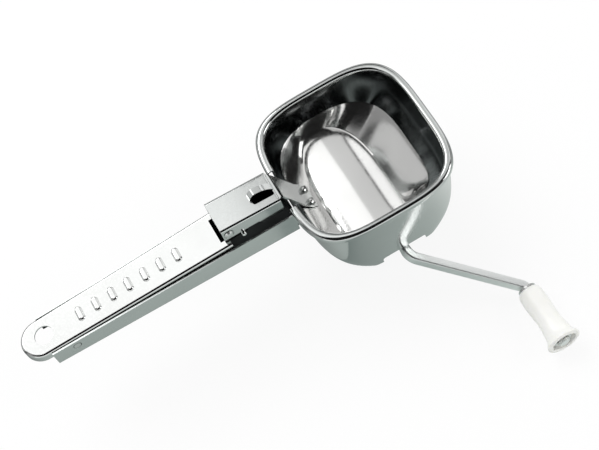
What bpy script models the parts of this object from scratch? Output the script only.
"""Hand-held rotary grater: hopper, squeeze handle, presser, drum, crank and knob.

Every length below is worked out in the hopper's own frame: X runs along the handle towards the
hopper, -Y is the crank side and +Z is up through the mouth, with zero at the middle of the mouth
on the rim's plane. One empty then moves the whole product, so that the world's origin lies in the
middle of the grip's flat underside.
"""

from math import atan2, cos, pi, radians, sin, sqrt

import bmesh
import bpy
from mathutils import Matrix, Vector

MM = 0.001
RUNNING_GAP = 0.3 * MM          # between pieces that touch, and around shanks and shafts

# Hopper
RIM_LENGTH = 89.0 * MM          # outside of the rolled rim, along X
RIM_WIDTH = 92.5 * MM           # outside of the rolled rim, along Y
RIM_FLANGE = 4.2 * MM           # from the inner wall to the lip's outside
RIM_BEND = 1.8 * MM             # bend from the wall into the flange
LIP_BEND = 2.0 * MM             # bend from the flange into the lip
LIP_DROP = 4.2 * MM             # how far the lip turns down
HOPPER_SHEET = 0.9 * MM
HOPPER_DEPTH = 46.0 * MM
MOUTH_SQUARENESS = 3.7          # superellipse exponent of the mouth
THROAT_SQUARENESS = 9.0         # and of the throat around the drum
SIDE_CURVE = 3.4                # how late the side walls turn in
END_RECESS_WIDTH = 26.0 * MM    # cut in the lower edge of the crank-side wall
END_RECESS_HEIGHT = 3.6 * MM
ARM_NOTCH_WIDTH = 25.0 * MM     # opening in the rim for the presser arm
ARM_NOTCH_DEPTH = 9.0 * MM

# Drum and crank
DRUM_RADIUS = 19.5 * MM
DRUM_SHEET = 0.8 * MM
DRUM_NEAR_END = 31.2 * MM       # outer face of the end cap, on the -Y side
DRUM_FAR_PROUD = 3.5 * MM       # how far the open end stands out of the far wall
DRUM_SIDE_CLEARANCE = 2.2 * MM
CAP_ROUNDING = 5.0 * MM
CAP_SPIGOT = 4.0 * MM
DRUM_HOLE_RADIUS = 1.7 * MM
DRUM_HOLE_ROWS = 4
DRUM_HOLE_COLUMNS = 8
HUB_RADIUS = 7.0 * MM
HUB_LENGTH = 9.0 * MM
NUT_RADIUS = 4.8 * MM
NUT_THICKNESS = 3.6 * MM
WASHER_THICKNESS = 1.2 * MM
BUSH_WALL = 1.2 * MM
BUSH_FLANGE = 6.2 * MM
BRACKET_SHEET = 1.2 * MM
BRACKET_WIDTH = 20.0 * MM
CRADLE_WIDTH = 5.4 * MM         # ring of metal around the drum's far end
RIM_RING_THICKNESS = 1.5 * MM
ROD_RADIUS = 2.7 * MM
ROD_BENDS = (8.0 * MM, 5.0 * MM)  # at the hopper and at the knob
CRANK_STUB = 12.5 * MM          # from the bearing's outer face to the first bend's corner
CRANK_REACH = (45.0 * MM, -38.5 * MM, -22.0 * MM)   # from the first bend to the second
KNOB_LENGTH = 34.5 * MM
KNOB_SETBACK = 3.2 * MM         # from the second bend's corner to the knob
KNOB_NECK_RADIUS = 6.4 * MM
KNOB_FLARE_RADIUS = 9.5 * MM
KNOB_RECESS = 3.0 * MM
PEEN_RADIUS = 3.6 * MM

# Channel handle
CHANNEL_REAR = -185.0 * MM
CHANNEL_REAR_WIDTH = 24.2 * MM
CHANNEL_FRONT_WIDTH = 27.6 * MM
CHANNEL_SHEET = 1.0 * MM
CHANNEL_REAR_TOP = -8.5 * MM
CHANNEL_FRONT_TOP = -5.8 * MM
CHANNEL_REAR_HEIGHT = 12.4 * MM
CHANNEL_FRONT_HEIGHT = 16.8 * MM
CHANNEL_BEND = 2.0 * MM
WEB_CUTBACK = 22.0 * MM         # the web stops short of the rear end, clear of the swinging lever
SADDLE_LENGTH = 36.0 * MM       # reinforcement inside the channel's front end
SADDLE_SHEET = 1.2 * MM

# Press lever
LEVER_REAR = -197.5 * MM
LEVER_FRONT = -78.0 * MM
LEVER_SHEET = 1.0 * MM
LEVER_REAR_TOP = -7.9 * MM
LEVER_FRONT_TOP = -3.0 * MM
LEVER_SKIRT = 5.6 * MM
LEVER_BEND = 1.6 * MM
HANGING_HOLE_X = -184.4 * MM
HANGING_HOLE_RADIUS = 5.2 * MM
EAR_NOTCH_LENGTH = 3.4 * MM      # cut in the lever's front edge, between its two ears
EAR_NOTCH_WIDTH = 15.2 * MM
PIVOT_X = -172.0 * MM
PIVOT_RADIUS = 2.0 * MM
PIVOT_EAR = 5.0 * MM            # metal around the pivot pin
SPACER_WALL = 1.2 * MM

# Presser
HINGE_X = -77.0 * MM
HINGE_Z = 4.5 * MM
HINGE_PIN_RADIUS = 1.6 * MM
HINGE_HEAD_RADIUS = 2.8 * MM
HINGE_HEAD_HEIGHT = 1.0 * MM
EAR_RADIUS = 3.5 * MM
EAR_SHEET = 1.0 * MM
STOP_OFFSET = (7.0 * MM, -5.6 * MM)     # stop pin, from the hinge pin
STOP_PIN_RADIUS = 1.3 * MM
STOP_PIN_PROUD = 2.0 * MM
ARM_WIDTH = 20.2 * MM
ARM_SHEET = 1.0 * MM
ARM_REAR = -80.5 * MM
ARM_REAR_TOP = 9.6 * MM
ARM_FRONT = -46.0 * MM
ARM_FRONT_TOP = 7.8 * MM
ARM_STEP = -60.0 * MM           # where the arm's sides grow deeper
ARM_DEEP_SIDE = -1.8 * MM
ARM_BEND = 1.6 * MM
TONGUE_WIDTH = 15.0 * MM
BRIDGE_REAR = -60.5 * MM
BRIDGE_WIDTH = 5.8 * MM
BRIDGE_CENTRE = -1.3 * MM
BRIDGE_RISE = 4.4 * MM
BRIDGE_SLOT = 7.4 * MM
PAN_SHEET = 0.8 * MM
PAN_CENTRE = -3.9 * MM
PAN_HALF_LENGTH = 32.9 * MM
PAN_HALF_WIDTH = 36.5 * MM
PAN_TOP = -14.0 * MM
PAN_SQUARENESS = (5.0, 2.9)     # superellipse exponents, on the crank side and on the far side
FLOOR_CENTRE = -7.3 * MM
FLOOR_HALF_LENGTH = 18.6 * MM
FLOOR_HALF_WIDTH = 34.5 * MM
FLOOR_TOP = -23.5 * MM
FLOOR_ARCH = 3.8 * MM
FLOOR_SQUARENESS = (8.0, 2.3)
PAN_WALL_CURVE = 0.8

# Rivets
RIVET_RADIUS = 1.2 * MM
RIVET_HEAD_RADIUS = 2.3 * MM
RIVET_HEAD_HEIGHT = 1.0 * MM

# Worked out from the sizes above
MOUTH_X = RIM_LENGTH / 2 - RIM_FLANGE
MOUTH_Y = RIM_WIDTH / 2 - RIM_FLANGE
DRUM_Z = -HOPPER_DEPTH
DRUM_AXIS = Vector((0, 0, DRUM_Z))
SHAFT_HOLE = ROD_RADIUS + RUNNING_GAP
THROAT_X = DRUM_RADIUS + DRUM_SIDE_CLEARANCE
WALL_OUTSIDE_Y = MOUTH_Y + HOPPER_SHEET
CHANNEL_FRONT = -(MOUTH_X + HOPPER_SHEET + SADDLE_SHEET + 2 * RUNNING_GAP)
RIVET_HOLE = RIVET_RADIUS + RUNNING_GAP / 2
PIVOT_Z = LEVER_REAR_TOP - LEVER_SKIRT + 1.0 * MM
PIVOT = Vector((PIVOT_X, 0, PIVOT_Z))
HINGE = Vector((HINGE_X, 0, HINGE_Z))
ARM_INNER = ARM_WIDTH / 2 - ARM_SHEET
EAR_OUTER = ARM_INNER - RUNNING_GAP
STOP_PIN = HINGE + Vector((STOP_OFFSET[0], 0, STOP_OFFSET[1]))
ARM_SHALLOW_SIDE = STOP_PIN.z + STOP_PIN_RADIUS + RUNNING_GAP


def along_channel(x, rear, front):
    """A size that changes evenly from the channel's rear end to its front end."""
    share = (x - CHANNEL_REAR) / (CHANNEL_FRONT - CHANNEL_REAR)
    return rear + share * (front - rear)


def channel_top(x):
    return along_channel(x, CHANNEL_REAR_TOP, CHANNEL_FRONT_TOP)


def web_bottom(x):
    """Underside of the channel, which grows deeper towards the hopper."""
    return channel_top(x) - along_channel(x, CHANNEL_REAR_HEIGHT, CHANNEL_FRONT_HEIGHT)


def channel_half(x):
    """Outside half width of the channel, which widens towards the hopper."""
    return along_channel(x, CHANNEL_REAR_WIDTH, CHANNEL_FRONT_WIDTH) / 2


def inside_channel(x):
    """Half width of what fits between the channel's walls."""
    return channel_half(x) - CHANNEL_SHEET - RUNNING_GAP


def lever_top(x):
    """Top of the lever, which rises towards the hopper."""
    share = (x - LEVER_REAR) / (LEVER_FRONT - LEVER_REAR)
    return LEVER_REAR_TOP + share * (LEVER_FRONT_TOP - LEVER_REAR_TOP)


GRIP_X = (CHANNEL_REAR + CHANNEL_FRONT) / 2
GRIP_CENTRE = Vector((GRIP_X, 0, web_bottom(GRIP_X)))


# ---------------------------------------------------------------- scene, bodies and materials

def clear_scene():
    for item in list(bpy.data.objects):
        bpy.data.objects.remove(item, do_unlink=True)


def collection(name):
    made = bpy.data.collections.new(name)
    bpy.context.scene.collection.children.link(made)
    return made


clear_scene()
PARTS = collection("rotary_grater")
CUTTERS = collection("cutters")


def material(name, colour, metallic, roughness):
    made = bpy.data.materials.new(name)
    made.use_nodes = True
    shader = made.node_tree.nodes["Principled BSDF"]
    shader.inputs["Base Color"].default_value = (*colour, 1.0)
    shader.inputs["Metallic"].default_value = metallic
    shader.inputs["Roughness"].default_value = roughness
    return made


POLISHED = material("polished_steel", (0.72, 0.74, 0.74), 1.0, 0.12)
SATIN = material("satin_steel", (0.58, 0.61, 0.60), 1.0, 0.32)
TINNED = material("tinned_steel", (0.66, 0.67, 0.68), 1.0, 0.28)
WHITE_PLASTIC = material("white_plastic", (0.86, 0.86, 0.82), 0.0, 0.35)


class Body:
    """A group of pieces that move as one, with its empty on its joint's axis."""

    def __init__(self, name, axis_point, parent=None):
        self.point = Vector(axis_point)
        self.empty = bpy.data.objects.new(name, None)
        PARTS.objects.link(self.empty)
        if parent:
            self.empty.parent = parent.empty
            self.empty.location = self.point - parent.point

    def take(self, item):
        item.parent = self.empty
        item.matrix_parent_inverse = Matrix.Translation(-self.point)


FRAME = Body("grater_frame", (0, 0, 0))
FRAME.empty.location = -GRIP_CENTRE
LEVER = Body("lever_pivot_axis", PIVOT, FRAME)
PRESSER = Body("presser_hinge_axis", HINGE, LEVER)
DRUM = Body("drum_axis", DRUM_AXIS, FRAME)


# ---------------------------------------------------------------- making and cutting pieces

def object_of(name, mesh, body, finish=None):
    """A part when it has a finish, and a cutter when it has none."""
    item = bpy.data.objects.new(name, mesh)
    body.take(item)
    if finish:
        mesh.materials.append(finish)
        PARTS.objects.link(item)
    else:
        CUTTERS.objects.link(item)
        item.hide_render = True
        item.display_type = "WIRE"
    return item


def mesh_from(bm, name):
    mesh = bpy.data.meshes.new(name)
    bm.to_mesh(mesh)
    bm.free()
    return mesh


def smooth(item, angle=radians(35)):
    item.data.shade_smooth()
    item.data.set_sharp_from_angle(angle=angle)
    return item


def thicken(item, thickness):
    """Solidify away from the side that the faces point to."""
    shell = item.modifiers.new("sheet", "SOLIDIFY")
    shell.thickness = thickness
    shell.offset = -1
    shell.use_even_offset = True


def round_bends(item, radius, steps=2):
    bend = item.modifiers.new("bends", "BEVEL")
    bend.width = radius
    bend.segments = steps
    bend.limit_method = "ANGLE"
    bend.angle_limit = radians(40)


def combine(item, tool, operation="DIFFERENCE"):
    step = item.modifiers.new(operation.lower(), "BOOLEAN")
    step.operation = operation
    step.object = tool
    step.solver = "EXACT"


def axis_turn(direction):
    """Turns local +Z to the direction."""
    return Vector(direction).to_track_quat("Z", "Y").to_matrix().to_4x4()


def drill(name, body, centre, direction, radius, length, sides=16):
    """A round cutter with its middle at the centre."""
    bm = bmesh.new()
    bmesh.ops.create_cone(bm, cap_ends=True, segments=sides, radius1=radius, radius2=radius,
                          depth=length, matrix=Matrix.Translation(centre) @ axis_turn(direction))
    return object_of(name, mesh_from(bm, name), body)


def box_cutter(name, body, low, high):
    low, high = Vector(low), Vector(high)
    size = high - low
    bm = bmesh.new()
    place = Matrix.Translation((low + high) / 2) @ Matrix.Diagonal((*size, 1))
    bmesh.ops.create_cube(bm, size=1, matrix=place)
    return object_of(name, mesh_from(bm, name), body)


def sheet(name, body, finish, rows, thickness, bend=0.0):
    """Folded sheet metal. Each row is a section, and the front of its faces is the outside."""
    bm = bmesh.new()
    grid = [[bm.verts.new(point) if point else None for point in row] for row in rows]
    for lower, upper in zip(grid, grid[1:]):
        for k in range(len(lower) - 1):
            corners = [lower[k], lower[k + 1], upper[k + 1], upper[k]]
            if all(corners):
                bm.faces.new(corners)
    item = object_of(name, mesh_from(bm, name), body, finish)
    if bend:
        round_bends(item, bend)
    thicken(item, thickness)
    return smooth(item)


def turned(name, body, finish, profile, centre, direction, steps=24, ring=False):
    """A turned piece. The profile holds (radius, height) pairs and runs down its outer side."""
    mesh = bpy.data.meshes.new(name)
    count = len(profile)
    edges = [(k, k + 1) for k in range(count - 1)]
    if ring:
        edges.append((count - 1, 0))
    mesh.from_pydata([(radius, 0, height) for radius, height in profile], edges, [])
    item = object_of(name, mesh, body, finish)
    item.matrix_basis = Matrix.Translation(centre) @ axis_turn(direction)
    spin = item.modifiers.new("turn", "SCREW")
    spin.steps = steps
    spin.render_steps = steps
    spin.use_merge_vertices = True
    spin.merge_threshold = 0.00001
    spin.use_smooth_shade = True
    return item


def tube_profile(inner, outer, low, high):
    return [(inner, high), (outer, high), (outer, low), (inner, low)]


def flat_plate(name, body, finish, outlines, thickness, place):
    """A flat blank of filled outlines, the first outside and the others holes, moved to place."""
    curve = bpy.data.curves.new(name, "CURVE")
    curve.dimensions = "2D"
    curve.fill_mode = "BOTH"
    curve.extrude = thickness / 2
    for outline in outlines:
        spline = curve.splines.new("POLY")
        spline.points.add(len(outline) - 1)
        for point, (x, y) in zip(spline.points, outline):
            point.co = (x, y, 0, 1)
        spline.use_cyclic_u = True
    return solid_from_curve(name, body, finish, curve, place)


def solid_from_curve(name, body, finish, curve, place=Matrix()):
    """The curve's own surface as a welded mesh."""
    guide = bpy.data.objects.new(name + "_guide", curve)
    bpy.context.scene.collection.objects.link(guide)
    bpy.context.view_layer.update()
    mesh = bpy.data.meshes.new_from_object(guide.evaluated_get(bpy.context.evaluated_depsgraph_get()))
    bm = bmesh.new()
    bm.from_mesh(mesh)
    bmesh.ops.remove_doubles(bm, verts=bm.verts, dist=0.00001)
    bmesh.ops.transform(bm, matrix=place, verts=bm.verts)
    bm.to_mesh(mesh)
    bm.free()
    bpy.data.objects.remove(guide, do_unlink=True)
    return object_of(name, mesh, body, finish)


def circle(centre_x, centre_y, radius, steps=32):
    turn = 2 * pi / steps
    return [(centre_x + radius * cos(turn * k), centre_y + radius * sin(turn * k)) for k in range(steps)]


def rivet(name, body, centre, direction, grip):
    """A round-headed rivet; grip is the thickness between its two heads."""
    half = grip / 2
    profile = [(0, half + RIVET_HEAD_HEIGHT), (RIVET_HEAD_RADIUS * 0.6, half + RIVET_HEAD_HEIGHT * 0.8),
               (RIVET_HEAD_RADIUS, half), (RIVET_RADIUS, half), (RIVET_RADIUS, -half),
               (RIVET_HEAD_RADIUS, -half), (RIVET_HEAD_RADIUS * 0.6, -half - RIVET_HEAD_HEIGHT * 0.8),
               (0, -half - RIVET_HEAD_HEIGHT)]
    return turned(name, body, POLISHED, profile, centre, direction, steps=14)


# ---------------------------------------------------------------- hopper

def superellipse(half_x, half_y, exponent, angle):
    power = 2 / exponent
    c, s = cos(angle), sin(angle)
    x = half_x * abs(c) ** power * (1 if c >= 0 else -1)
    y = half_y * abs(s) ** power * (1 if s >= 0 else -1)
    return x, y


def hopper_half_width(drop):
    """Inside half width along X, at a depth under the rim."""
    share = drop / HOPPER_DEPTH
    return MOUTH_X - (MOUTH_X - THROAT_X) * share ** SIDE_CURVE


def hopper_profile():
    """(outward step, squareness, half width, height) of each ring, from the throat to the lip."""
    rings = []
    levels = 7
    for k in range(levels):
        drop = HOPPER_DEPTH - (HOPPER_DEPTH - RIM_BEND) * k / (levels - 1)
        share = drop / HOPPER_DEPTH
        squareness = MOUTH_SQUARENESS + (THROAT_SQUARENESS - MOUTH_SQUARENESS) * share ** 2
        rings.append((0.0, squareness, hopper_half_width(drop), -drop))
    for k in range(1, 3):
        turn = radians(45 * k)
        rings.append((RIM_BEND * (1 - cos(turn)), MOUTH_SQUARENESS, MOUTH_X, -RIM_BEND * (1 - sin(turn))))
    for k in range(3):
        turn = radians(45 * k)
        out = RIM_FLANGE - LIP_BEND * (1 - sin(turn))
        rings.append((out, MOUTH_SQUARENESS, MOUTH_X, -LIP_BEND * (1 - cos(turn))))
    rings.append((RIM_FLANGE, MOUTH_SQUARENESS, MOUTH_X, -LIP_DROP))
    return rings


def make_hopper_shell():
    around = 52
    bm = bmesh.new()
    rings = []
    for out, squareness, half_x, z in hopper_profile():
        ring = []
        for k in range(around):
            x, y = superellipse(half_x + out, MOUTH_Y + out, squareness, 2 * pi * k / around)
            ring.append(bm.verts.new((x, y, z)))
        rings.append(ring)
    for lower, upper in zip(rings, rings[1:]):
        for k in range(around):
            after = (k + 1) % around
            bm.faces.new((lower[k], upper[k], upper[after], lower[after]))
    shell = object_of("hopper_shell", mesh_from(bm, "hopper_shell"), FRAME, POLISHED)
    thicken(shell, HOPPER_SHEET)

    reach = 20 * MM
    notch = box_cutter("cut_arm_notch", FRAME,
                       (-MOUTH_X - reach, -ARM_NOTCH_WIDTH / 2, -ARM_NOTCH_DEPTH),
                       (-MOUTH_X + reach, ARM_NOTCH_WIDTH / 2, reach))
    recess = box_cutter("cut_end_recess", FRAME,
                        (-END_RECESS_WIDTH / 2, -MOUTH_Y - reach, DRUM_Z - reach),
                        (END_RECESS_WIDTH / 2, -MOUTH_Y + reach, DRUM_Z + END_RECESS_HEIGHT))
    arch = drill("cut_drum_arch", FRAME, (0, MOUTH_Y, DRUM_Z), (0, 1, 0),
                 DRUM_RADIUS + 2 * RUNNING_GAP, reach, 48)
    combine(shell, notch)
    combine(shell, recess)
    combine(shell, arch)
    for k, place in enumerate(cradle_rivet_places()):
        combine(shell, drill(f"cut_cradle_rivet_{k}", FRAME, place, (0, 1, 0), RIVET_HOLE, reach / 2, 10))
    for k, place in enumerate(saddle_rivet_places()):
        combine(shell, drill(f"cut_saddle_rivet_{k}", FRAME, place, (1, 0, 0), RIVET_HOLE, reach / 2, 10))
    return smooth(shell)


# ---------------------------------------------------------------- channel handle and its saddle

SADDLE_TOP = LEVER_FRONT_TOP - LEVER_SKIRT - 2 * RUNNING_GAP
SADDLE_FACE = -(MOUTH_X + HOPPER_SHEET + RUNNING_GAP)
SADDLE_RIVET_SPREAD = 6.5 * MM


def saddle_rivet_grip():
    """Height of the handle rivets, and the faces of the joint that their heads hold together."""
    z = (SADDLE_TOP + web_bottom(SADDLE_FACE)) / 2 + 1.5 * MM
    inside = -hopper_half_width(RIVET_HEAD_RADIUS - z) + RUNNING_GAP
    outside = SADDLE_FACE - SADDLE_SHEET - RUNNING_GAP
    return z, outside, inside


def saddle_rivet_places():
    z, outside, inside = saddle_rivet_grip()
    return [Vector(((outside + inside) / 2, side * SADDLE_RIVET_SPREAD, z)) for side in (-1, 1)]


def channel_section(x, half, top, bottom):
    return [(x, -half, top), (x, -half, bottom), (x, half, bottom), (x, half, top)]


def make_channel_handle():
    rows = [channel_section(x, channel_half(x), channel_top(x), web_bottom(x))
            for x in (CHANNEL_REAR, CHANNEL_FRONT)]
    channel = sheet("channel_handle", FRAME, SATIN, rows, CHANNEL_SHEET, CHANNEL_BEND)
    reach = 5 * MM
    web_half = channel_half(CHANNEL_REAR) - CHANNEL_SHEET - RUNNING_GAP / 3
    web_cut = box_cutter("cut_web_rear", FRAME,
                         (CHANNEL_REAR - reach, -web_half, web_bottom(CHANNEL_REAR) - reach),
                         (CHANNEL_REAR + WEB_CUTBACK, web_half, PIVOT_Z))
    combine(channel, web_cut)
    combine(channel, drill("cut_channel_pivot", FRAME, PIVOT, (0, 1, 0),
                           PIVOT_RADIUS + RUNNING_GAP, CHANNEL_FRONT_WIDTH + reach))


def make_handle_saddle():
    """A U inside the channel, with an end plate that is riveted to the hopper."""
    front = SADDLE_FACE - SADDLE_SHEET / 2
    rear = CHANNEL_FRONT - SADDLE_LENGTH
    gap = CHANNEL_SHEET + RUNNING_GAP
    rows = [channel_section(x, inside_channel(x), SADDLE_TOP, web_bottom(x) + gap) for x in (rear, front)]
    saddle = sheet("handle_saddle", FRAME, TINNED, rows, SADDLE_SHEET, CHANNEL_BEND)
    half = inside_channel(SADDLE_FACE) - SADDLE_SHEET / 2
    low = web_bottom(SADDLE_FACE) + gap + SADDLE_SHEET / 2
    plate = box_cutter("join_saddle_plate", FRAME, (SADDLE_FACE - SADDLE_SHEET, -half, low),
                       (SADDLE_FACE, half, SADDLE_TOP - SADDLE_SHEET / 2))
    combine(saddle, plate, "UNION")
    for k, place in enumerate(saddle_rivet_places()):
        combine(saddle, drill(f"cut_saddle_plate_{k}", FRAME, place, (1, 0, 0), RIVET_HOLE, half, 10))
    for k, place in enumerate(saddle_rivet_places()):
        _, outside, inside = saddle_rivet_grip()
        rivet(f"handle_rivet_{k + 1}", FRAME, place, (1, 0, 0), inside - outside)


# ---------------------------------------------------------------- bearings of the drum

BEARING_FACE = -(DRUM_NEAR_END + WASHER_THICKNESS + 2 * RUNNING_GAP)   # bracket's inner face
CRADLE_RADIUS = DRUM_RADIUS + RUNNING_GAP
CRADLE_FACE = WALL_OUTSIDE_Y + RUNNING_GAP


def make_near_bracket():
    """A cranked strap, welded inside the crank-side wall, that carries the bush."""
    half = BRACKET_WIDTH / 2
    wall = -(MOUTH_Y - RUNNING_GAP - BRACKET_SHEET)
    foot = DRUM_Z - SHAFT_HOLE - BUSH_WALL - 1.6 * MM
    path = [(wall, DRUM_Z + 21 * MM), (wall, DRUM_Z + 12 * MM), (BEARING_FACE, DRUM_Z + 7.5 * MM),
            (BEARING_FACE, foot)]
    rows = [[(-half, y, z), (half, y, z)] for y, z in path]
    bracket = sheet("near_bracket", FRAME, TINNED, rows, BRACKET_SHEET)
    combine(bracket, drill("cut_bush_hole", FRAME, (0, BEARING_FACE, DRUM_Z), (0, 1, 0),
                           SHAFT_HOLE + BUSH_WALL + RUNNING_GAP, 8 * MM, 20))


def make_bearing_bush():
    """A flanged bush; its flange bears on the bracket's outer face."""
    flange_low = BRACKET_SHEET + RUNNING_GAP
    profile = [(SHAFT_HOLE, flange_low + WASHER_THICKNESS), (BUSH_FLANGE, flange_low + WASHER_THICKNESS),
               (BUSH_FLANGE, flange_low), (SHAFT_HOLE + BUSH_WALL, flange_low),
               (SHAFT_HOLE + BUSH_WALL, 0), (SHAFT_HOLE, 0)]
    turned("bearing_bush", FRAME, SATIN, profile, (0, BEARING_FACE, DRUM_Z), (0, -1, 0), 20, ring=True)


def cradle_rivet_places():
    radius = CRADLE_RADIUS + CRADLE_WIDTH / 2
    y = MOUTH_Y + (HOPPER_SHEET + BRACKET_SHEET + RUNNING_GAP) / 2
    angles = (radians(55), radians(90), radians(125))
    return [Vector((radius * cos(a), y, DRUM_Z + radius * sin(a))) for a in angles]


def make_far_cradle():
    """A ring plate outside the far wall, in which the drum's open end turns."""
    holes = [circle(place.x, place.z - DRUM_Z, RIVET_HOLE, 10) for place in cradle_rivet_places()]
    outlines = [circle(0, 0, CRADLE_RADIUS + CRADLE_WIDTH, 40), circle(0, 0, CRADLE_RADIUS, 40), *holes]
    centre_y = CRADLE_FACE + BRACKET_SHEET / 2
    place = Matrix.Translation((0, centre_y, DRUM_Z)) @ Matrix.Rotation(pi / 2, 4, "X")
    flat_plate("far_cradle", FRAME, TINNED, outlines, BRACKET_SHEET, place)
    for k, spot in enumerate(cradle_rivet_places()):
        rivet(f"cradle_rivet_{k + 1}", FRAME, spot, (0, 1, 0), HOPPER_SHEET + BRACKET_SHEET + 4 * RUNNING_GAP)


# ---------------------------------------------------------------- drum

DRUM_FAR_END = CRADLE_FACE + BRACKET_SHEET + DRUM_FAR_PROUD
SHELL_NEAR_END = -(DRUM_NEAR_END - CAP_ROUNDING) + RUNNING_GAP


def make_drum_shell():
    bm = bmesh.new()
    length = DRUM_FAR_END - SHELL_NEAR_END
    middle = Vector((0, (DRUM_FAR_END + SHELL_NEAR_END) / 2, DRUM_Z))
    bmesh.ops.create_cone(bm, cap_ends=False, segments=40, radius1=DRUM_RADIUS, radius2=DRUM_RADIUS,
                          depth=length, matrix=Matrix.Translation(middle) @ axis_turn((0, 1, 0)))
    shell = object_of("drum_shell", mesh_from(bm, "drum_shell"), DRUM, TINNED)
    thicken(shell, DRUM_SHEET)
    combine(shell, drum_hole_cutter())
    return smooth(shell)


def drum_hole_cutter():
    """All the grating holes, as separate pegs that don't touch, staggered from row to row."""
    bm = bmesh.new()
    first = -(DRUM_NEAR_END - CAP_ROUNDING - CAP_SPIGOT) + 4 * DRUM_HOLE_RADIUS
    last = MOUTH_Y - 4 * DRUM_HOLE_RADIUS
    depth = 6 * DRUM_SHEET
    for row in range(DRUM_HOLE_ROWS):
        y = first + (last - first) * row / (DRUM_HOLE_ROWS - 1)
        for column in range(DRUM_HOLE_COLUMNS):
            turn = 2 * pi * (column + 0.5 * (row % 2)) / DRUM_HOLE_COLUMNS
            out = Vector((cos(turn), 0, sin(turn)))
            place = Matrix.Translation(DRUM_AXIS + Vector((0, y, 0)) + out * DRUM_RADIUS) @ axis_turn(out)
            bmesh.ops.create_cone(bm, cap_ends=True, segments=8, radius1=DRUM_HOLE_RADIUS,
                                  radius2=DRUM_HOLE_RADIUS, depth=depth, matrix=place)
    return object_of("cut_drum_holes", mesh_from(bm, "cut_drum_holes"), DRUM)


def make_drum_cap():
    """The pressed end on the crank side: a flat disc, a rounded shoulder and a spigot."""
    outside = []
    for k in range(4):
        turn = radians(30 * k)
        outside.append((DRUM_RADIUS - CAP_ROUNDING * (1 - sin(turn)), -CAP_ROUNDING * (1 - cos(turn))))
    spigot = DRUM_RADIUS - DRUM_SHEET - RUNNING_GAP
    sheet_depth = DRUM_SHEET + RUNNING_GAP
    profile = [(SHAFT_HOLE, 0), *outside, (spigot, -CAP_ROUNDING), (spigot, -CAP_ROUNDING - CAP_SPIGOT),
               (spigot - DRUM_SHEET, -CAP_ROUNDING - CAP_SPIGOT), (spigot - DRUM_SHEET, -CAP_ROUNDING),
               (DRUM_RADIUS - CAP_ROUNDING, -sheet_depth), (SHAFT_HOLE, -sheet_depth)]
    turned("drum_cap", DRUM, TINNED, profile, (0, -DRUM_NEAR_END, DRUM_Z), (0, -1, 0), 36, ring=True)


def washer(name, body, inner, outer, near_y, centre=DRUM_AXIS):
    """A flat washer that starts at near_y and grows towards the far side."""
    place = Vector((centre.x, near_y, centre.z))
    turned(name, body, SATIN, tube_profile(inner, outer, 0, WASHER_THICKNESS), place, (0, 1, 0), 20, ring=True)


def make_drum_fittings():
    washer("drum_washer", DRUM, SHAFT_HOLE, HUB_RADIUS, BEARING_FACE + RUNNING_GAP)
    hub_start = -DRUM_NEAR_END + DRUM_SHEET + 2 * RUNNING_GAP
    turned("drum_hub", DRUM, SATIN, tube_profile(SHAFT_HOLE, HUB_RADIUS, 0, HUB_LENGTH),
           (0, hub_start, DRUM_Z), (0, 1, 0), 24, ring=True)
    nut_middle = hub_start + HUB_LENGTH + RUNNING_GAP + NUT_THICKNESS / 2
    place = Matrix.Translation((0, nut_middle, DRUM_Z)) @ Matrix.Rotation(pi / 2, 4, "X")
    flat_plate("crank_nut", DRUM, SATIN, [circle(0, 0, NUT_RADIUS, 6), circle(0, 0, SHAFT_HOLE, 16)],
               NUT_THICKNESS, place)
    bead = tube_profile(CRADLE_RADIUS, CRADLE_RADIUS + RIM_RING_THICKNESS, 0, RIM_RING_THICKNESS)
    bead_start = DRUM_FAR_END - RIM_RING_THICKNESS
    turned("drum_rim_ring", DRUM, TINNED, bead, (0, bead_start, DRUM_Z), (0, 1, 0), 40, ring=True)
    return nut_middle + NUT_THICKNESS / 2


# ---------------------------------------------------------------- crank and knob

def rounded_path(corners, radii, steps=5):
    """The corners joined by straight runs, with each inner corner rounded by an arc."""
    points = [corners[0]]
    for before, corner, after, radius in zip(corners, corners[1:], corners[2:], radii):
        back = (before - corner).normalized()
        ahead = (after - corner).normalized()
        half = back.angle(ahead) / 2
        setback = radius / sin(half) * cos(half)
        centre = corner + (back + ahead).normalized() * (radius / sin(half))
        start = corner + back * setback - centre
        end = corner + ahead * setback - centre
        sweep = start.angle(end)
        for k in range(steps + 1):
            share = k / steps
            arm = start * sin((1 - share) * sweep) + end * sin(share * sweep)
            points.append(centre + arm / sin(sweep))
    points.append(corners[-1])
    return points


BUSH_OUTER_FACE = BEARING_FACE - BRACKET_SHEET - RUNNING_GAP - WASHER_THICKNESS
FIRST_BEND = Vector((0, BUSH_OUTER_FACE - CRANK_STUB, DRUM_Z))
SECOND_BEND = FIRST_BEND + Vector(CRANK_REACH)
KNOB_START = SECOND_BEND.y - KNOB_SETBACK
KNOB_AXIS = Vector((SECOND_BEND.x, KNOB_START, SECOND_BEND.z))
KNOB = Body("knob_axis", KNOB_AXIS, DRUM)


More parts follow.
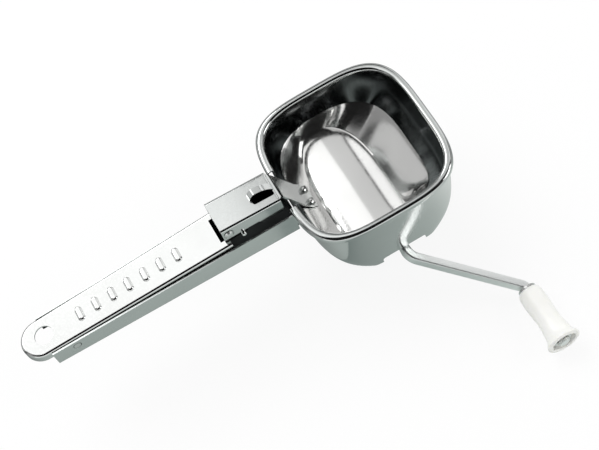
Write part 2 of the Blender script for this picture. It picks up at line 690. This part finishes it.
def make_crank_rod(inner_end):
    head_face = KNOB_START - KNOB_LENGTH + KNOB_RECESS - WASHER_THICKNESS - 2 * RUNNING_GAP
    head_height = KNOB_RECESS / 2
    corners = [Vector((0, inner_end + 1.5 * MM, DRUM_Z)), FIRST_BEND, SECOND_BEND,
               Vector((SECOND_BEND.x, head_face - head_height / 2, SECOND_BEND.z))]
    curve = bpy.data.curves.new("crank_rod", "CURVE")
    curve.dimensions = "3D"
    curve.bevel_depth = ROD_RADIUS
    curve.bevel_resolution = 2
    curve.use_fill_caps = True
    path = rounded_path(corners, ROD_BENDS)
    spline = curve.splines.new("POLY")
    spline.points.add(len(path) - 1)
    for point, place in zip(spline.points, path):
        point.co = (*place, 1)
    rod = solid_from_curve("crank_rod", DRUM, SATIN, curve)
    profile = [(0, 0), (PEEN_RADIUS * 0.7, 0), (PEEN_RADIUS, -head_height / 2),
               (PEEN_RADIUS, -head_height), (0, -head_height)]
    head = turned("join_peened_head", DRUM, None, profile,
                  (SECOND_BEND.x, head_face - head_height, SECOND_BEND.z), (0, -1, 0), 20)
    combine(rod, head, "UNION")
    return smooth(rod)


def make_knob():
    """A waisted plastic grip, flared at its outer end, where a recess hides the peened rod."""
    waist = [(0.00, 0.86), (0.03, 0.97), (0.10, 1.04), (0.25, 1.06), (0.45, 1.00), (0.62, 1.00),
             (0.76, 1.10)]
    flare = [(0.86, 0.80), (0.93, 0.94), (0.97, 1.00), (0.99, 0.97), (1.00, 0.90)]
    outline = [(KNOB_NECK_RADIUS * size, KNOB_LENGTH * along) for along, size in waist]
    outline += [(KNOB_FLARE_RADIUS * size, KNOB_LENGTH * along) for along, size in flare]
    recess_radius = PEEN_RADIUS + 2.4 * MM
    recess_floor = KNOB_LENGTH - KNOB_RECESS
    bore = [(SHAFT_HOLE, 0)]
    mouth = [(recess_radius, KNOB_LENGTH), (recess_radius, recess_floor), (SHAFT_HOLE, recess_floor)]
    profile = list(reversed(bore + outline)) + list(reversed(mouth))
    return turned("knob", KNOB, WHITE_PLASTIC, profile, KNOB_AXIS, (0, -1, 0), 26, ring=True)


def make_knob_washers():
    inner_face = KNOB_START + RUNNING_GAP
    washer("knob_inner_washer", DRUM, SHAFT_HOLE, KNOB_NECK_RADIUS * 0.8, inner_face, KNOB_AXIS)
    outer_face = KNOB_START - KNOB_LENGTH + KNOB_RECESS - RUNNING_GAP - WASHER_THICKNESS
    washer("knob_outer_washer", DRUM, SHAFT_HOLE, PEEN_RADIUS + 1.6 * MM, outer_face, KNOB_AXIS)


# ---------------------------------------------------------------- press lever

def lever_outline():
    """The lever seen from above, from its front far corner round the rear end to its front near one."""
    radius = inside_channel(LEVER_REAR)
    centre_x = LEVER_REAR + radius
    steps = 12
    arc = [radians(90 + 180 * k / steps) for k in range(steps + 1)]
    rear = [(centre_x + radius * cos(a), radius * sin(a)) for a in arc]
    front = inside_channel(LEVER_FRONT)
    return [(LEVER_FRONT, front), *rear, (LEVER_FRONT, -front)]


def ear_outline():
    """An upright ear, round about the hinge pin and wider at its foot."""
    foot = lever_top(HINGE_X) - LEVER_SHEET * 0.6
    arc = [radians(180 - 20 * k) for k in range(8)]
    crown = [(HINGE_X + EAR_RADIUS * cos(a), HINGE_Z + EAR_RADIUS * sin(a)) for a in arc]
    toe = STOP_PIN.x + STOP_PIN_RADIUS * 2.2
    return [(HINGE_X - EAR_RADIUS, foot), *crown, (toe, STOP_PIN.z + STOP_PIN_RADIUS), (toe, foot)]


def make_press_lever():
    bm = bmesh.new()
    outline = lever_outline()
    top = [bm.verts.new((x, y, lever_top(x))) for x, y in outline]
    low = [bm.verts.new((x, y, lever_top(x) - LEVER_SKIRT)) for x, y in outline]
    bm.faces.new(top)
    for k in range(len(outline) - 1):
        bm.faces.new((top[k + 1], top[k], low[k], low[k + 1]))
    lever = object_of("press_lever", mesh_from(bm, "press_lever"), LEVER, POLISHED)
    round_bends(lever, LEVER_BEND)
    thicken(lever, LEVER_SHEET)

    reach = 20 * MM
    hole_place = (HANGING_HOLE_X, 0, lever_top(HANGING_HOLE_X))
    combine(lever, drill("cut_hanging_hole", LEVER, hole_place, (0, 0, 1), HANGING_HOLE_RADIUS, reach, 24))
    notch = box_cutter("cut_ear_notch", LEVER,
                       (LEVER_FRONT - EAR_NOTCH_LENGTH, -EAR_NOTCH_WIDTH / 2, LEVER_FRONT_TOP - reach),
                       (LEVER_FRONT + reach, EAR_NOTCH_WIDTH / 2, reach))
    combine(lever, notch)
    for side, label in ((-1, "near"), (1, "far")):
        combine(lever, lever_ear(side, label), "UNION")
        combine(lever, pivot_ear(side, label), "UNION")
    combine(lever, drill("cut_lever_pivot", LEVER, PIVOT, (0, 1, 0), PIVOT_RADIUS + RUNNING_GAP, 40 * MM))
    combine(lever, drill("cut_ear_hinge", LEVER, HINGE, (0, 1, 0), HINGE_PIN_RADIUS + RUNNING_GAP, reach))
    combine(lever, drill("cut_ear_stop", LEVER, STOP_PIN, (0, 1, 0), STOP_PIN_RADIUS + RUNNING_GAP, reach))
    return smooth(lever)


def lever_ear(side, label):
    middle = side * (EAR_OUTER - EAR_SHEET / 2)
    place = Matrix.Translation((0, middle, 0)) @ Matrix.Rotation(pi / 2, 4, "X")
    return flat_plate(f"join_ear_{label}", LEVER, None, [ear_outline()], EAR_SHEET, place)


def pivot_ear(side, label):
    """A tab that takes the skirt down around the pivot pin."""
    top = lever_top(PIVOT_X) - LEVER_SKIRT * 0.4
    arc = [radians(180 + 20 * k) for k in range(10)]
    tab = [(PIVOT_X + PIVOT_EAR * cos(a), PIVOT_Z + PIVOT_EAR * sin(a)) for a in arc]
    outline = [(PIVOT_X + PIVOT_EAR, top), (PIVOT_X - PIVOT_EAR, top), *tab]
    middle = side * (inside_channel(PIVOT_X) - LEVER_SHEET * 0.6)
    place = Matrix.Translation((0, middle, 0)) @ Matrix.Rotation(pi / 2, 4, "X")
    return flat_plate(f"join_pivot_ear_{label}", LEVER, None, [outline], LEVER_SHEET, place)


def make_lever_pins():
    """The flush pivot pin, the riveted hinge pin, its spacer and the stop pin."""
    half = channel_half(PIVOT_X)
    turned("lever_pivot_pin", FRAME, SATIN, [(0, half), (PIVOT_RADIUS, half), (PIVOT_RADIUS, -half), (0, -half)],
           PIVOT, (0, 1, 0), 20)
    spacer_half = inside_channel(PIVOT_X) - 2 * LEVER_SHEET - RUNNING_GAP
    bore = PIVOT_RADIUS + RUNNING_GAP
    turned("pivot_spacer", LEVER, SATIN, tube_profile(bore, bore + SPACER_WALL, -spacer_half, spacer_half),
           PIVOT, (0, 1, 0), 20, ring=True)

    half = ARM_WIDTH / 2 + RUNNING_GAP
    crown = half + HINGE_HEAD_HEIGHT
    pin = [(0, crown), (HINGE_HEAD_RADIUS * 0.7, crown - HINGE_HEAD_HEIGHT * 0.25), (HINGE_HEAD_RADIUS, half),
           (HINGE_PIN_RADIUS, half), (HINGE_PIN_RADIUS, -half), (HINGE_HEAD_RADIUS, -half),
           (HINGE_HEAD_RADIUS * 0.7, -crown + HINGE_HEAD_HEIGHT * 0.25), (0, -crown)]
    turned("presser_hinge_pin", LEVER, POLISHED, pin, HINGE, (0, 1, 0), 20)
    spacer_half = EAR_OUTER - EAR_SHEET - RUNNING_GAP
    bore = HINGE_PIN_RADIUS + RUNNING_GAP
    turned("hinge_spacer", LEVER, SATIN, tube_profile(bore, bore + SPACER_WALL, -spacer_half, spacer_half),
           HINGE, (0, 1, 0), 20, ring=True)
    half = ARM_WIDTH / 2 + STOP_PIN_PROUD
    dome = half - 0.5 * MM
    stop = [(0, half), (STOP_PIN_RADIUS * 0.7, half), (STOP_PIN_RADIUS, dome), (STOP_PIN_RADIUS, -dome),
            (STOP_PIN_RADIUS * 0.7, -half), (0, -half)]
    turned("arm_stop_pin", LEVER, POLISHED, stop, STOP_PIN, (0, 1, 0), 16)


# ---------------------------------------------------------------- presser

def floor_height(x, half_length):
    """The floor is arched over the drum, high along its middle line."""
    across = min(1.0, abs(x) / half_length)
    return FLOOR_TOP - FLOOR_ARCH * across ** 2


def pan_point(angle, share):
    """Upper face of the pan: share 0 is its top edge, 1 the floor's edge and 2 the floor's middle."""
    far_side = int(sin(angle) > 0)
    top_x, top_y = superellipse(PAN_HALF_LENGTH, PAN_HALF_WIDTH, PAN_SQUARENESS[far_side], angle)
    low_x, low_y = superellipse(FLOOR_HALF_LENGTH, FLOOR_HALF_WIDTH, FLOOR_SQUARENESS[far_side], angle)
    if share <= 1:
        across = share ** PAN_WALL_CURVE
        x = (PAN_CENTRE + top_x) * (1 - across) + (FLOOR_CENTRE + low_x) * across
        y = top_y * (1 - across) + low_y * across
        low_z = floor_height(low_x, FLOOR_HALF_LENGTH)
        return Vector((x, y, PAN_TOP + (low_z - PAN_TOP) * share))
    scale = 2 - share
    return Vector((FLOOR_CENTRE + low_x * scale, low_y * scale,
                   floor_height(low_x * scale, FLOOR_HALF_LENGTH)))


def tongue_points():
    """Two points on the tongue's upper face, where it lies on the pan's rear wall, and the normal."""
    high, low = pan_point(pi, 0.12), pan_point(pi, 0.62)
    along = (low - high).normalized()
    normal = Vector((-along.z, 0, along.x))
    lift = normal * (ARM_SHEET + 2 * RUNNING_GAP)
    return high + lift, low + lift, normal


def make_presser_pan():
    around = 40
    shares = [0, 0.15, 0.4, 0.7, 1.0, 1.35, 1.7]
    bm = bmesh.new()
    rings = [[bm.verts.new(pan_point(2 * pi * k / around, share)) for k in range(around)] for share in shares]
    for outer, inner in zip(rings, rings[1:]):
        for k in range(around):
            after = (k + 1) % around
            bm.faces.new((outer[k], outer[after], inner[after], inner[k]))
    middle = bm.verts.new(pan_point(0, 2))
    for k in range(around):
        bm.faces.new((rings[-1][k], rings[-1][(k + 1) % around], middle))
    pan = object_of("presser_pan", mesh_from(bm, "presser_pan"), PRESSER, POLISHED)
    thicken(pan, PAN_SHEET)
    for k, (spot, normal) in enumerate(pan_rivet_places()):
        combine(pan, drill(f"cut_pan_rivet_{k}", PRESSER, spot, normal, RIVET_HOLE, 8 * MM, 10))
    return smooth(pan, radians(50))


def pan_rivet_places():
    high, low, normal = tongue_points()
    middle = high * 0.35 + low * 0.65 - normal * ((ARM_SHEET + RUNNING_GAP * 2 + PAN_SHEET) / 2)
    spread = TONGUE_WIDTH * 0.28
    return [(middle + Vector((0, side * spread, 0)), normal) for side in (-1, 1)]


def arm_top(x):
    share = (x - ARM_REAR) / (ARM_FRONT - ARM_REAR)
    return ARM_REAR_TOP + share * (ARM_FRONT_TOP - ARM_REAR_TOP)


def make_presser_arm():
    half = ARM_WIDTH / 2
    tongue = TONGUE_WIDTH / 2
    step = 0.6 * MM

    def section(x, side_bottom):
        top = arm_top(x)
        return [(x, half, side_bottom), (x, half, top), (x, tongue, top), (x, -tongue, top),
                (x, -half, top), (x, -half, side_bottom)]

    rows = [section(ARM_REAR, ARM_SHALLOW_SIDE), section(ARM_STEP - step, ARM_SHALLOW_SIDE),
            section(ARM_STEP + step, ARM_DEEP_SIDE), section(ARM_FRONT, ARM_DEEP_SIDE)]
    high, low, _ = tongue_points()
    shoulder_drop = 2.6 * MM
    for x, z in ((ARM_FRONT + shoulder_drop, ARM_FRONT_TOP - shoulder_drop), (high.x, high.z), (low.x, low.z)):
        rows.append([None, None, (x, tongue, z), (x, -tongue, z), None, None])
    arm = sheet("presser_arm", PRESSER, POLISHED, rows, ARM_SHEET, ARM_BEND)

    front = ARM_FRONT - 0.8 * MM
    slot_low = BRIDGE_CENTRE - BRIDGE_SLOT / 2
    reach = 6 * MM
    slot = box_cutter("cut_bridge_slot", PRESSER, (BRIDGE_REAR, slot_low, ARM_FRONT_TOP - reach),
                      (front, slot_low + BRIDGE_SLOT, ARM_REAR_TOP + reach))
    combine(arm, slot)
    combine(arm, bridge_strip(front), "UNION")
    combine(arm, drill("cut_arm_hinge", PRESSER, HINGE, (0, 1, 0), HINGE_PIN_RADIUS + RUNNING_GAP, 40 * MM))
    for k, (spot, normal) in enumerate(pan_rivet_places()):
        combine(arm, drill(f"cut_tongue_rivet_{k}", PRESSER, spot, normal, RIVET_HOLE, 8 * MM, 10))
        rivet(f"pan_rivet_{k + 1}", PRESSER, spot, normal, ARM_SHEET + PAN_SHEET + 4 * RUNNING_GAP)
    return arm


def bridge_strip(front):
    """The finger bridge: a strip that leaves the plate steeply and comes back to it gently."""
    inset = 1.0 * MM
    start, end = BRIDGE_REAR - inset, front + inset
    steps = 10
    rows = []
    for k in range(steps + 1):
        share = k / steps
        x = start + (end - start) * share
        rise = BRIDGE_RISE * min(1.0, sqrt(share * 4.5)) * cos(share ** 2 * pi / 2)
        z = arm_top(x) - ARM_SHEET * 0.15 + rise
        half = BRIDGE_WIDTH / 2
        rows.append([(x, BRIDGE_CENTRE + half, z), (x, BRIDGE_CENTRE - half, z)])
    strip = sheet("join_bridge_strip", PRESSER, None, rows, ARM_SHEET * 0.8)
    return strip


def build():
    make_hopper_shell()
    make_channel_handle()
    make_handle_saddle()
    make_near_bracket()
    make_bearing_bush()
    make_far_cradle()
    make_drum_shell()
    make_drum_cap()
    inner_end = make_drum_fittings()
    make_crank_rod(inner_end)
    make_knob()
    make_knob_washers()
    make_press_lever()
    make_lever_pins()
    make_presser_pan()
    make_presser_arm()


build()
